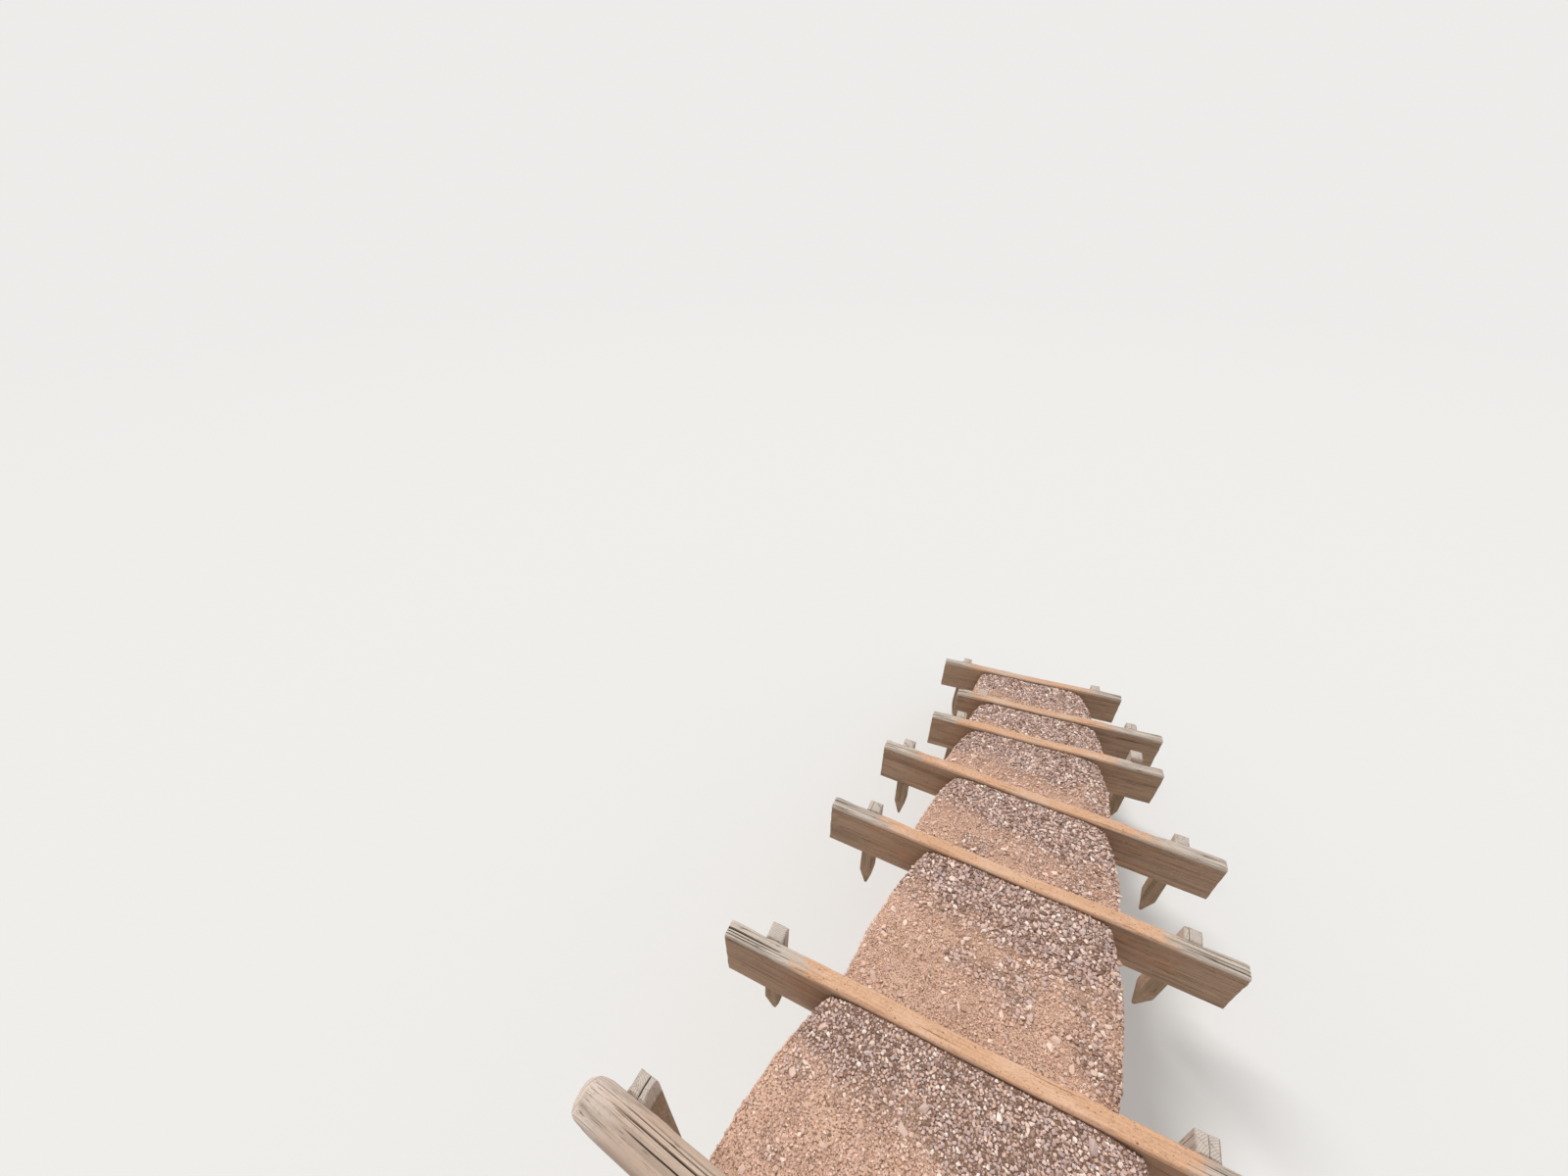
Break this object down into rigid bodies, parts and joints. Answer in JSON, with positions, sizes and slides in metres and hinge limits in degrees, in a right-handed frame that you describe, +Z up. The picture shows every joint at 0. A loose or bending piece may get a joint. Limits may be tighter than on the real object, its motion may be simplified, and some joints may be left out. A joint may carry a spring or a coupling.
{
  "type": "timber-edged path steps",
  "caption": "Flight of timber-edged path steps for a slope: a round log and sawn riser boards set across the path, held by driven pegs, with compacted stone treads behind them.",
  "frame": {"origin": "middle of the underside of the lowest riser board, which beds on the ground", "axes": "+Z up, +Y up the flight, +X to the right when walking up it"},
  "size_m": [1.7469, 3.2014, 1.5008],
  "materials": {
    "board_timber": "sawn softwood, foot-worn warm tan in the middle, weathered silver grey at the ends",
    "log_wood": "peeled round pole, weathered, with long drying cracks",
    "peg_timber": "sawn square stake, weathered grey",
    "tread_stone": "compacted reddish earth and angular crushed stone"
  },
  "bodies": {
    "root": {"top_log": "log_wood", "riser_board_1": "board_timber", "riser_board_2": "board_timber", "riser_board_3": "board_timber", "riser_board_4": "board_timber", "riser_board_5": "board_timber", "riser_board_6": "board_timber", "peg_left_0": "peg_timber", "peg_left_1": "peg_timber", "peg_left_2": "peg_timber", "peg_left_3": "peg_timber", "peg_left_4": "peg_timber", "peg_left_5": "peg_timber", "peg_left_6": "peg_timber", "peg_right_0": "peg_timber", "peg_right_1": "peg_timber", "peg_right_2": "peg_timber", "peg_right_3": "peg_timber", "peg_right_4": "peg_timber", "peg_right_5": "peg_timber", "peg_right_6": "peg_timber", "tread_fill_1": "tread_stone", "tread_fill_2": "tread_stone", "tread_fill_3": "tread_stone", "tread_fill_4": "tread_stone", "tread_fill_5": "tread_stone", "tread_fill_6": "tread_stone"}
  },
  "joints": []
}
